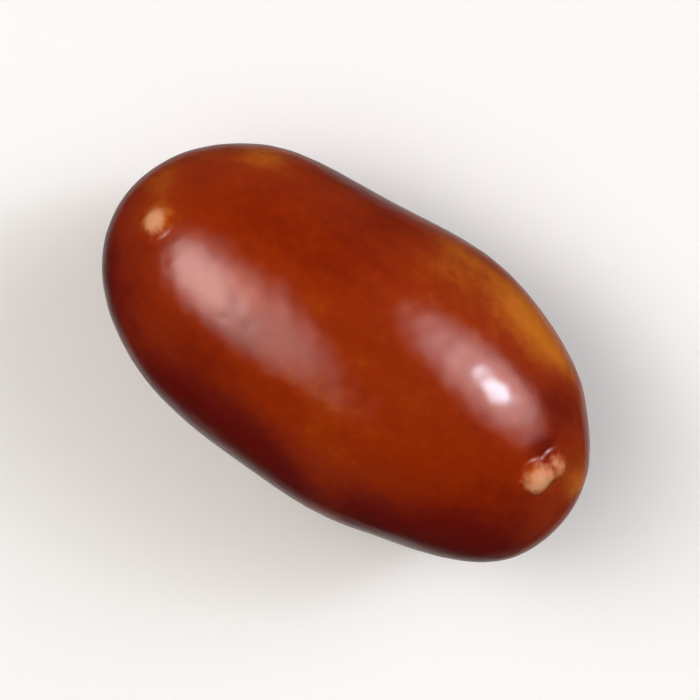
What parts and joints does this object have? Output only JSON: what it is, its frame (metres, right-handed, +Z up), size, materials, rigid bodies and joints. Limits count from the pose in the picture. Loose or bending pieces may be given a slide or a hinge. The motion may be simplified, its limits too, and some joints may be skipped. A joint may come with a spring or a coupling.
{
  "type": "chocolate-coated fennel seed",
  "caption": "Smooth, glossy oval comfit: a fennel seed wholly covered in a thick polished coat, with its styles showing as a tiny nib at one end. Eaten as a sweet.",
  "frame": {"origin": "middle of the bounding box on the plane that the comfit rests on", "axes": "+X along the comfit towards the styles, +Y across it, +Z up"},
  "size_m": [0.012, 0.0068, 0.0064],
  "materials": {
    "coat": "panned chocolate coat under a clear edible shellac glaze, chestnut brown with deeper red and amber clouds"
  },
  "bodies": {
    "root": {"coated_seed": "coat"}
  },
  "joints": []
}
